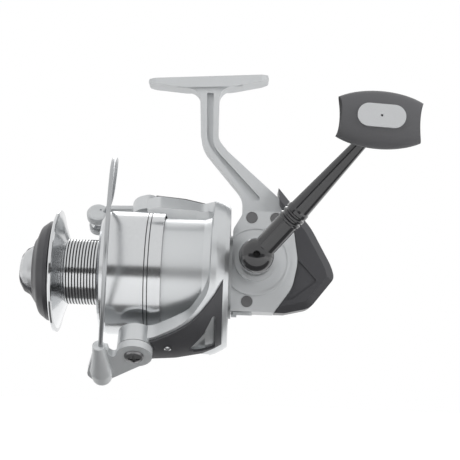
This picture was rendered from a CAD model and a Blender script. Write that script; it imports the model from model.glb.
import math

import bpy
from mathutils import Matrix, Vector


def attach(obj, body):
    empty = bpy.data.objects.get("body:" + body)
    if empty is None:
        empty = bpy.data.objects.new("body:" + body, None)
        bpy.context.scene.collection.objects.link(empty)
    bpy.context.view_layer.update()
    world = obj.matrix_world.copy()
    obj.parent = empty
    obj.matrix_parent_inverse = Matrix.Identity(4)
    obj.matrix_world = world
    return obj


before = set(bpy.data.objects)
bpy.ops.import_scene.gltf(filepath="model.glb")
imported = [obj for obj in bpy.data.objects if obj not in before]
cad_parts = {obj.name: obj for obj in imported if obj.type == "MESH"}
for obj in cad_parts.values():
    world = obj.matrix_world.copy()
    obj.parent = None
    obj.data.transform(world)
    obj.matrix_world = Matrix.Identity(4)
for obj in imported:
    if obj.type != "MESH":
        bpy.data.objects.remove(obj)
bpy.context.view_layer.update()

bl_info = {
    "name": "Spinning reel finishes",
    "version": (1, 0, 0),
    "blender": (4, 5, 0),
    "location": "View3D > Sidebar > Reel",
    "description": "Dresses the spinning reel's solids with finishes, painted lines and a studio",
    "category": "Object",
}

MM = 0.001
SHAFT_X, SHAFT_Z = 15.4 * MM, -114.15 * MM  # where the shaft crosses the rotor's rear face
RELIEF_DEPTH = 0.02 * MM  # of the fine grain and the turning marks

# Rows of painted lines: name, first line along the shaft, pitch, radius of the rings, half a line's
# thickness as a share of the line width, and how many.
PAINTED_ROWS = (
    ("skirt_lines", -45.4 * MM, 2.0 * MM, 34.72 * MM, 0.5, 2),
    ("arbor_lines", -89.7 * MM, 1.68 * MM, 18.12 * MM, 0.72, 11),
)
RING_STEPS, SECTION_STEPS = 128, 8  # corners round a ring, and round its section

# The studio, in metres and watts.
LAMPS = (  # name, place, width and height, power, seen in bright metal
    ("key", (-0.55, -0.85, 0.95), (1.0, 0.7), 9, False),
    ("fill", (1.1, -0.7, 0.15), (0.8, 1.0), 7, False),
    ("rim", (0.2, 1.0, 0.6), (1.2, 0.6), 4, True),
)
FLOOR_REACH = 6.0
DIFFUSE_SKY, SEEN_SKY = 0.40, 1.0  # backdrop strength as light, and as seen
FLOOR_GREY = 0.9
GLOW_FROM, GLOW_TO = (0.4, 0.45), (2.0, 0.9)  # the floor's reach and glow, near and far
FRONT_CARD = {"half_width": 1.2, "forward": -1.2, "lift": 0.01, "top": 0.085, "grey": 0.15}
LOWER_CARD = {"half_width": 0.5, "near": -0.10, "far": 0.06, "lift": 0.05, "grey": 0.20}
AIM_RISE = 27 * MM  # from the shaft up to the point the camera and the lamps face
LENS_MM, SENSOR_MM = 93.4, 36.0
CAMERA_TURN, CAMERA_TILT, CAMERA_ROLL = 0.6, -7.0, 2.15  # degrees

# Which CAD nodes take which finish.
FINISHES = {
    "silver_paint": ["body_frame", "side_cover", "bail_lever", "roller_bracket", "roller_cap",
                     "anti_reverse_lever"],
    "rotor_paint": ["rotor"],
    "dark_plastic": ["rear_cover", "arm_panel_near", "arm_panel_far", "drag_knob", "far_side_cap"],
    "black_gloss": ["handle_hub", "handle_arm"],
    "polished_alloy": ["spool"],
    "lip_plating": ["spool_lip_ring", "line_roller"],
    "plate_alloy": ["knob_plate", "knob_insert_near", "knob_insert_far"],
    "grip_rubber": ["handle_knob"],
    "screw_dark": ["side_cover_screw_1", "side_cover_screw_2", "side_cover_screw_3",
                   "retainer_screw_1", "retainer_screw_2", "retainer_screw_3", "pivot_screw_near",
                   "pivot_screw_far"],
    "screw_bright": ["panel_screw_near", "panel_screw_far"],
    "shaft_steel": ["main_shaft", "guide_rod", "oscillation_axle", "handle_shaft", "knob_axle",
                    "roller_pin", "gear_bearing_near", "gear_bearing_far",
                    "front_bearing", "clutch_housing", "clutch_sleeve", "clutch_retainer",
                    "drag_retaining_ring", "drag_nut"],
    "wire_steel": ["bail_wire"],
    "gear_brass": ["pinion_gear", "pinion_bush", "rotor_nut"],
    "gear_zinc": ["drive_gear", "oscillation_gear", "oscillation_slider"],
    "washer_felt": ["drag_washer_1", "drag_washer_2", "drag_washer_3"],
    "click_plastic": ["click_wheel"],
}


# ---- settings a user would change ----
def colour(name, description, default):
    """Return a colour setting."""
    return bpy.props.FloatVectorProperty(name=name, description=description, default=default,
                                         subtype="COLOR", size=3, min=0.0, max=1.0)


def length(name, description, default):
    """Return a length setting."""
    return bpy.props.FloatProperty(name=name, description=description, default=default,
                                   subtype="DISTANCE", unit="LENGTH", min=0.0)


class ReelColours(bpy.types.PropertyGroup):
    """Colours of the reel's finishes."""
    silver: colour("Silver paint", "Satin paint on the castings", (0.60, 0.615, 0.625))
    charcoal: colour("Charcoal", "Moulded covers and the drag knob", (0.055, 0.055, 0.06))
    black: colour("Black gloss", "Handle arm and hub", (0.018, 0.018, 0.02))
    alloy: colour("Polished alloy", "Spool and bright trim", (0.60, 0.61, 0.62))
    rubber: colour("Rubber", "Handle knob", (0.10, 0.10, 0.105))
    line: colour("Painted line", "Thin dark lines in the spool's grooves", (0.02, 0.02, 0.022))
    backdrop: colour("Backdrop", "Floor and background", (1.0, 1.0, 1.0))


class ReelSizes(bpy.types.PropertyGroup):
    """Sizes of the dressed pieces and of the studio."""
    line_width: length("Painted line width", "Width of the dark lines on the spool", 0.5 * MM)
    floor_drop: length("Floor drop", "How far the floor lies below the foot seat", 330 * MM)
    camera_distance: length("Camera distance", "From the camera to the middle of the reel",
                            680 * MM)


# ---- node building ----
def new_material(name):
    """Return a new material with its node tree and its shader."""
    material = bpy.data.materials.new(name)
    material.use_nodes = True
    tree = material.node_tree
    shader = tree.nodes["Principled BSDF"]
    return material, tree, shader


def node(tree, kind, **inputs):
    """Add a node with its unlinked inputs set, an underscore standing for a space."""
    made = tree.nodes.new(kind)
    for key, value in inputs.items():
        made.inputs[key.replace("_", " ")].default_value = value
    return made


def grain_group():
    """Fine grain: a value that mottles colour, roughness and height alike."""
    group = bpy.data.node_groups.new("Fine grain", "ShaderNodeTree")
    face = group.interface
    for name, default in (("Size", 0.0004), ("Colour amount", 0.04), ("Roughness", 0.4),
                          ("Roughness amount", 0.1)):
        face.new_socket(name, in_out="INPUT", socket_type="NodeSocketFloat").default_value = default
    face.new_socket("Colour", in_out="INPUT", socket_type="NodeSocketColor")
    face.new_socket("Colour", in_out="OUTPUT", socket_type="NodeSocketColor")
    face.new_socket("Roughness", in_out="OUTPUT", socket_type="NodeSocketFloat")
    face.new_socket("Height", in_out="OUTPUT", socket_type="NodeSocketFloat")
    into, out = group.nodes.new("NodeGroupInput"), group.nodes.new("NodeGroupOutput")
    place = group.nodes.new("ShaderNodeTexCoord")
    per_size = group.nodes.new("ShaderNodeMath")
    per_size.operation = "DIVIDE"
    per_size.inputs[0].default_value = 1.0
    group.links.new(into.outputs["Size"], per_size.inputs[1])
    noise = group.nodes.new("ShaderNodeTexNoise")
    noise.inputs["Detail"].default_value = 3.0
    group.links.new(place.outputs["Object"], noise.inputs["Vector"])
    group.links.new(per_size.outputs[0], noise.inputs["Scale"])
    swing = group.nodes.new("ShaderNodeMapRange")
    swing.inputs["To Min"].default_value = -1.0
    swing.inputs["To Max"].default_value = 1.0
    group.links.new(noise.outputs["Fac"], swing.inputs["Value"])
    brighter = multiply_add(group, swing.outputs[0], into.outputs["Colour amount"], 1.0)
    tint = group.nodes.new("ShaderNodeVectorMath")
    tint.operation = "SCALE"
    group.links.new(into.outputs["Colour"], tint.inputs[0])
    group.links.new(brighter, tint.inputs["Scale"])
    rough = multiply_add(group, swing.outputs[0], into.outputs["Roughness amount"], 0.0,
                         into.outputs["Roughness"])
    group.links.new(tint.outputs[0], out.inputs["Colour"])
    group.links.new(rough, out.inputs["Roughness"])
    group.links.new(noise.outputs["Fac"], out.inputs["Height"])
    return group


def multiply_add(tree, first, second, add, add_from=None):
    """Return first times second plus a number, or plus another socket."""
    made = tree.nodes.new("ShaderNodeMath")
    made.operation = "MULTIPLY_ADD"
    tree.links.new(first, made.inputs[0])
    tree.links.new(second, made.inputs[1])
    made.inputs[2].default_value = add
    if add_from:
        tree.links.new(add_from, made.inputs[2])
    return made.outputs[0]


def turning_group():
    """Turning marks: fine rings about the shaft, as a lathe leaves them."""
    group = bpy.data.node_groups.new("Turning marks", "ShaderNodeTree")
    face = group.interface
    face.new_socket("Pitch", in_out="INPUT", socket_type="NodeSocketFloat").default_value = 0.0003
    face.new_socket("Mark", in_out="OUTPUT", socket_type="NodeSocketFloat")
    into, out = group.nodes.new("NodeGroupInput"), group.nodes.new("NodeGroupOutput")
    place = group.nodes.new("ShaderNodeTexCoord")
    split = group.nodes.new("ShaderNodeSeparateXYZ")
    group.links.new(place.outputs["Object"], split.inputs[0])
    shift = group.nodes.new("ShaderNodeMath")
    shift.operation = "SUBTRACT"
    shift.inputs[1].default_value = SHAFT_Z
    group.links.new(split.outputs["Z"], shift.inputs[0])
    flat = group.nodes.new("ShaderNodeCombineXYZ")
    group.links.new(split.outputs["Y"], flat.inputs["X"])
    group.links.new(shift.outputs[0], flat.inputs["Y"])
    reach = group.nodes.new("ShaderNodeVectorMath")
    reach.operation = "LENGTH"
    group.links.new(flat.outputs[0], reach.inputs[0])
    along = group.nodes.new("ShaderNodeMath")
    along.operation = "ADD"
    group.links.new(split.outputs["X"], along.inputs[0])
    group.links.new(reach.outputs["Value"], along.inputs[1])
    rate = group.nodes.new("ShaderNodeMath")
    rate.operation = "DIVIDE"
    group.links.new(along.outputs[0], rate.inputs[0])
    group.links.new(into.outputs["Pitch"], rate.inputs[1])
    line = group.nodes.new("ShaderNodeTexNoise")
    line.noise_dimensions = "1D"
    line.inputs["Scale"].default_value = 1.0
    line.inputs["Detail"].default_value = 2.0
    group.links.new(rate.outputs[0], line.inputs["W"])
    group.links.new(line.outputs["Fac"], out.inputs["Mark"])
    return group


def finish(name, tint, metallic, rough, grain_size, colour_amount=0.04, rough_amount=0.06, bump=0.0,
           coat=0.0, coat_rough=0.1, turned=0.0):
    """Return a material with the shared grain, and turning marks where turned is given."""
    material, tree, shader = new_material(name)
    grain = tree.nodes.new("ShaderNodeGroup")
    grain.node_tree = bpy.data.node_groups["Fine grain"]
    grain.inputs["Size"].default_value = grain_size
    grain.inputs["Colour amount"].default_value = colour_amount
    grain.inputs["Roughness"].default_value = rough
    grain.inputs["Roughness amount"].default_value = rough_amount
    grain.inputs["Colour"].default_value = (*tint, 1.0)
    tree.links.new(grain.outputs["Colour"], shader.inputs["Base Color"])
    tree.links.new(grain.outputs["Roughness"], shader.inputs["Roughness"])
    shader.inputs["Metallic"].default_value = metallic
    shader.inputs["Coat Weight"].default_value = coat
    shader.inputs["Coat Roughness"].default_value = coat_rough
    height = grain.outputs["Height"]
    if turned:
        marks = tree.nodes.new("ShaderNodeGroup")
        marks.node_tree = bpy.data.node_groups["Turning marks"]
        marks.inputs["Pitch"].default_value = turned
        height = marks.outputs["Mark"]
    if bump:
        relief = tree.nodes.new("ShaderNodeBump")
        relief.inputs["Strength"].default_value = bump
        relief.inputs["Distance"].default_value = RELIEF_DEPTH
        tree.links.new(height, relief.inputs["Height"])
        tree.links.new(relief.outputs["Normal"], shader.inputs["Normal"])
    return material


def dress(name, material):
    """Give a CAD node its finish."""
    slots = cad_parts[name].data.materials
    slots.clear()
    slots.append(material)


class REEL_OT_finishes(bpy.types.Operator):
    """Paint, polish and colour every CAD piece"""
    bl_idname = "reel.finishes"
    bl_label = "Finishes"

    def execute(self, context):
        grain_group()
        turning_group()
        tints = context.scene.reel_colours
        # name, tint, metallic, roughness, grain size, and what is not as usual
        looks = (
            ("silver_paint", tints.silver, 0.20, 0.42, 0.0003,
             {"colour_amount": 0.05, "rough_amount": 0.05, "bump": 0.10}),
            ("rotor_paint", tints.silver, 0.75, 0.30, 0.0003,
             {"colour_amount": 0.05, "rough_amount": 0.05, "bump": 0.10}),
            ("dark_plastic", tints.charcoal, 0.0, 0.42, 0.0003,
             {"colour_amount": 0.12, "bump": 0.25}),
            ("black_gloss", tints.black, 0.0, 0.16, 0.002,
             {"colour_amount": 0.10, "rough_amount": 0.03, "coat": 0.6, "coat_rough": 0.05}),
            ("polished_alloy", tints.alloy, 1.0, 0.17, 0.002,
             {"colour_amount": 0.03, "rough_amount": 0.03, "bump": 0.04, "turned": 0.0003}),
            ("lip_plating", tints.alloy, 1.0, 0.10, 0.003,
             {"colour_amount": 0.02, "rough_amount": 0.03}),
            ("plate_alloy", tints.alloy, 0.5, 0.35, 0.0006, {"rough_amount": 0.05, "bump": 0.1}),
            ("grip_rubber", tints.rubber, 0.0, 0.62, 0.00035,
             {"colour_amount": 0.14, "rough_amount": 0.05, "bump": 0.5}),
            ("screw_dark", (0.22, 0.22, 0.225), 0.9, 0.35, 0.0008,
             {"colour_amount": 0.1, "rough_amount": 0.05}),
            ("screw_bright", (0.62, 0.63, 0.64), 1.0, 0.2, 0.0008,
             {"colour_amount": 0.1, "rough_amount": 0.05}),
            ("wire_steel", (0.40, 0.41, 0.42), 0.8, 0.3, 0.001,
             {"colour_amount": 0.05, "rough_amount": 0.05}),
            ("shaft_steel", (0.58, 0.58, 0.59), 1.0, 0.22, 0.001,
             {"colour_amount": 0.05, "rough_amount": 0.05}),
            ("gear_brass", (0.75, 0.58, 0.28), 1.0, 0.28, 0.001,
             {"colour_amount": 0.06, "rough_amount": 0.05}),
            ("gear_zinc", (0.46, 0.47, 0.48), 0.9, 0.45, 0.0006,
             {"colour_amount": 0.08, "rough_amount": 0.05}),
            ("washer_felt", (0.20, 0.19, 0.17), 0.0, 0.9, 0.0003,
             {"colour_amount": 0.3, "rough_amount": 0.0, "bump": 0.6}),
            ("click_plastic", (0.75, 0.75, 0.70), 0.0, 0.4, 0.0008,
             {"colour_amount": 0.05, "rough_amount": 0.05}),
        )
        for name, tint, metallic, rough, grain_size, others in looks:
            material = finish(name, tint, metallic, rough, grain_size, **others)
            for piece in FINISHES[name]:
                dress(piece, material)
        return {"FINISHED"}


# ---- painted lines ----
def ring_row_tree(material):
    """Build the tree that sets equal rings in a row along the shaft."""
    tree = bpy.data.node_groups.new("Ring row", "GeometryNodeTree")
    face = tree.interface
    face.new_socket("Geometry", in_out="INPUT", socket_type="NodeSocketGeometry")
    for name in ("Start", "Pitch", "Radius", "Thickness"):
        face.new_socket(name, in_out="INPUT", socket_type="NodeSocketFloat")
    face.new_socket("Count", in_out="INPUT", socket_type="NodeSocketInt")
    face.new_socket("Geometry", in_out="OUTPUT", socket_type="NodeSocketGeometry")
    into, out = tree.nodes.new("NodeGroupInput"), tree.nodes.new("NodeGroupOutput")
    row = tree.nodes.new("GeometryNodeMeshLine")
    start = tree.nodes.new("ShaderNodeCombineXYZ")
    start.inputs["Z"].default_value = SHAFT_Z
    step = tree.nodes.new("ShaderNodeCombineXYZ")
    tree.links.new(into.outputs["Start"], start.inputs["X"])
    tree.links.new(into.outputs["Pitch"], step.inputs["X"])
    tree.links.new(into.outputs["Count"], row.inputs["Count"])
    tree.links.new(start.outputs[0], row.inputs["Start Location"])
    tree.links.new(step.outputs[0], row.inputs["Offset"])
    ring = tree.nodes.new("GeometryNodeCurvePrimitiveCircle")
    ring.inputs["Resolution"].default_value = RING_STEPS
    tree.links.new(into.outputs["Radius"], ring.inputs["Radius"])
    section = tree.nodes.new("GeometryNodeCurvePrimitiveCircle")
    section.inputs["Resolution"].default_value = SECTION_STEPS
    tree.links.new(into.outputs["Thickness"], section.inputs["Radius"])
    hoop = tree.nodes.new("GeometryNodeCurveToMesh")
    tree.links.new(ring.outputs["Curve"], hoop.inputs["Curve"])
    tree.links.new(section.outputs["Curve"], hoop.inputs["Profile Curve"])
    many = tree.nodes.new("GeometryNodeInstanceOnPoints")
    many.inputs["Rotation"].default_value = (0.0, math.pi / 2, 0.0)
    tree.links.new(row.outputs["Mesh"], many.inputs["Points"])
    tree.links.new(hoop.outputs["Mesh"], many.inputs["Instance"])
    real = tree.nodes.new("GeometryNodeRealizeInstances")
    tree.links.new(many.outputs["Instances"], real.inputs[0])
    paint = tree.nodes.new("GeometryNodeSetMaterial")
    paint.inputs["Material"].default_value = material
    tree.links.new(real.outputs[0], paint.inputs["Geometry"])
    tree.links.new(paint.outputs[0], out.inputs["Geometry"])
    return tree


def grown(name, tree, **values):
    """Run a geometry tree on an empty mesh, and return the plain mesh that it makes."""
    seed = bpy.data.objects.new(f"{name}_seed", bpy.data.meshes.new(f"{name}_seed"))
    bpy.context.scene.collection.objects.link(seed)
    modifier = seed.modifiers.new("grow", "NODES")
    modifier.node_group = tree
    sockets = {s.name: s.identifier for s in tree.interface.items_tree if s.in_out == "INPUT"}
    for key, value in values.items():
        modifier[sockets[key]] = value
    bpy.context.view_layer.update()
    graph = bpy.context.evaluated_depsgraph_get()
    mesh = bpy.data.meshes.new_from_object(seed.evaluated_get(graph))
    seed.modifiers.clear()
    bpy.data.objects.remove(seed)
    made = bpy.data.objects.new(name, mesh)
    mesh.name = name
    bpy.context.scene.collection.objects.link(made)
    for face in mesh.polygons:
        face.use_smooth = True
    return made


class REEL_OT_painted_lines(bpy.types.Operator):
    """Lay dark paint in the grooves of the spool's skirt and arbor"""
    bl_idname = "reel.painted_lines"
    bl_label = "Painted lines"

    def execute(self, context):
        paint = finish("line_paint", context.scene.reel_colours.line, 0.0, 0.35, 0.0005, 0.1)
        tree = ring_row_tree(paint)
        width = context.scene.reel_sizes.line_width
        for name, start, pitch, radius, share, count in PAINTED_ROWS:
            lines = grown(name, tree, Start=SHAFT_X + start, Pitch=pitch, Radius=radius,
                          Thickness=share * width, Count=count)
            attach(lines, "spool")
        return {"FINISHED"}


# ---- studio ----
def seen_white(tree):
    """Return 1 for the rays that see the backdrop, straight, in a mirror or through glass."""
    path = tree.nodes.new("ShaderNodeLightPath")
    first = tree.nodes.new("ShaderNodeMath")
    first.operation = "MAXIMUM"
    tree.links.new(path.outputs["Is Camera Ray"], first.inputs[0])
    tree.links.new(path.outputs["Is Glossy Ray"], first.inputs[1])
    either = tree.nodes.new("ShaderNodeMath")
    either.operation = "MAXIMUM"
    tree.links.new(first.outputs[0], either.inputs[0])
    tree.links.new(path.outputs["Is Transmission Ray"], either.inputs[1])
    return either.outputs[0]


def area_light(name, place, aim, size, power, mirrored):
    """Hang a softbox that faces the given point, seen or unseen in bright metal."""
    light = bpy.data.lights.new(name, "AREA")
    light.shape = "RECTANGLE"
    light.size, light.size_y = size
    light.energy = power
    lamp = bpy.data.objects.new(name, light)
    bpy.context.scene.collection.objects.link(lamp)
    lamp.location = place
    lamp.rotation_euler = (Vector(aim) - Vector(place)).to_track_quat("-Z", "Y").to_euler()
    lamp.visible_glossy = mirrored


def level_corners(half_width, near, far, height):
    """Return the corners of a level rectangle, from its near left one round."""
    return [(-half_width, near, height), (half_width, near, height), (half_width, far, height),
            (-half_width, far, height)]


def card(name, corners, grey):
    """Stand a plain grey card in the studio for bright metal to reflect."""
    mesh = bpy.data.meshes.new(name)
    mesh.from_pydata(corners, [], [(0, 1, 2, 3)])
    material, tree, shader = new_material(name)
    shader.inputs["Base Color"].default_value = (grey, grey, grey, 1.0)
    shader.inputs["Roughness"].default_value = 0.9
    mesh.materials.append(material)
    made = bpy.data.objects.new(name, mesh)
    bpy.context.scene.collection.objects.link(made)


def floor_material(tint):
    """Pale paper: it takes the shadow, and glows a little so that it meets the white backdrop."""
    material, tree, shader = new_material("floor")
    shader.inputs["Base Color"].default_value = (*(FLOOR_GREY * part for part in tint), 1.0)
    shader.inputs["Roughness"].default_value = 0.9
    shader.inputs["Specular IOR Level"].default_value = 0.1
    shader.inputs["Emission Color"].default_value = (*tint, 1.0)
    place = tree.nodes.new("ShaderNodeTexCoord")
    reach = tree.nodes.new("ShaderNodeVectorMath")
    reach.operation = "LENGTH"
    tree.links.new(place.outputs["Object"], reach.inputs[0])
    glow = node(tree, "ShaderNodeMapRange", From_Min=GLOW_FROM[0], From_Max=GLOW_TO[0],
                To_Min=GLOW_FROM[1], To_Max=GLOW_TO[1])
    tree.links.new(reach.outputs["Value"], glow.inputs["Value"])
    shown = tree.nodes.new("ShaderNodeMath")
    shown.operation = "MULTIPLY"
    tree.links.new(seen_white(tree), shown.inputs[0])
    tree.links.new(glow.outputs[0], shown.inputs[1])
    tree.links.new(shown.outputs[0], shader.inputs["Emission Strength"])
    return material


class REEL_OT_stage(bpy.types.Operator):
    """Set up the floor, the lights, the cards and the camera"""
    bl_idname = "reel.stage"
    bl_label = "Studio"

    def execute(self, context):
        scene = context.scene
        sizes, tints = scene.reel_sizes, scene.reel_colours
        middle = Vector((SHAFT_X, 0.0, SHAFT_Z + AIM_RISE))
        world = bpy.data.worlds.new("studio")
        scene.world = world
        world.use_nodes = True
        tree = world.node_tree
        back = tree.nodes["Background"]
        back.inputs["Color"].default_value = (*tints.backdrop, 1.0)
        level = node(tree, "ShaderNodeMapRange", To_Min=DIFFUSE_SKY, To_Max=SEEN_SKY)
        tree.links.new(seen_white(tree), level.inputs["Value"])
        tree.links.new(level.outputs[0], back.inputs["Strength"])
        drop = -sizes.floor_drop
        floor_mesh = bpy.data.meshes.new("floor")
        floor_mesh.from_pydata(level_corners(FLOOR_REACH, -FLOOR_REACH, FLOOR_REACH, 0), [],
                               [(0, 1, 2, 3)])
        floor = bpy.data.objects.new("floor", floor_mesh)
        scene.collection.objects.link(floor)
        floor.location = (0, 0, drop)
        floor_mesh.materials.append(floor_material(tints.backdrop))
        for name, place, size, power, mirrored in LAMPS:
            area_light(name, place, middle, size, power, mirrored)
        half, forward = FRONT_CARD["half_width"], FRONT_CARD["forward"]
        low, high = drop + FRONT_CARD["lift"], FRONT_CARD["top"]
        card("front_card", [(-half, forward, low), (half, forward, low), (half, forward, high),
                            (-half, forward, high)], FRONT_CARD["grey"])
        card("lower_card", level_corners(LOWER_CARD["half_width"], LOWER_CARD["near"],
                                         LOWER_CARD["far"], drop + LOWER_CARD["lift"]),
             LOWER_CARD["grey"])
        camera = bpy.data.objects.new("camera", bpy.data.cameras.new("camera"))
        scene.collection.objects.link(camera)
        camera.data.lens, camera.data.sensor_width = LENS_MM, SENSOR_MM
        turn, tilt, roll = (math.radians(a) for a in (CAMERA_TURN, CAMERA_TILT, CAMERA_ROLL))
        away = Vector((math.sin(turn) * math.cos(tilt), -math.cos(turn) * math.cos(tilt),
                       math.sin(tilt)))
        right = Vector((math.cos(turn), math.sin(turn), 0.0))
        up = away.cross(right)
        across = right * math.cos(roll) + up * math.sin(roll)
        upward = up * math.cos(roll) - right * math.sin(roll)
        camera.matrix_world = Matrix.Translation(middle + away * sizes.camera_distance) @ Matrix(
            (across, upward, away)).transposed().to_4x4()
        scene.camera = camera
        scene.view_settings.view_transform = "Standard"
        return {"FINISHED"}


class REEL_PT_panel(bpy.types.Panel):
    """Lists the reel's steps in the 3D view's sidebar"""
    bl_idname = "REEL_PT_panel"
    bl_label = "Spinning reel"
    bl_space_type = "VIEW_3D"
    bl_region_type = "UI"
    bl_category = "Reel"

    def draw(self, context):
        for group in (context.scene.reel_colours, context.scene.reel_sizes):
            for key in group.__annotations__:
                self.layout.prop(group, key)
        for step in STEPS:
            self.layout.operator(step.bl_idname)


STEPS = (REEL_OT_finishes, REEL_OT_painted_lines, REEL_OT_stage)
CLASSES = (ReelColours, ReelSizes, *STEPS, REEL_PT_panel)


def register():
    for made in CLASSES:
        bpy.utils.register_class(made)
    bpy.types.Scene.reel_colours = bpy.props.PointerProperty(type=ReelColours)
    bpy.types.Scene.reel_sizes = bpy.props.PointerProperty(type=ReelSizes)


def unregister():
    del bpy.types.Scene.reel_colours
    del bpy.types.Scene.reel_sizes
    for made in reversed(CLASSES):
        bpy.utils.unregister_class(made)


def main():
    register()
    bpy.ops.reel.finishes()
    bpy.ops.reel.painted_lines()
    bpy.ops.reel.stage()


if __name__ == "__main__":
    main()
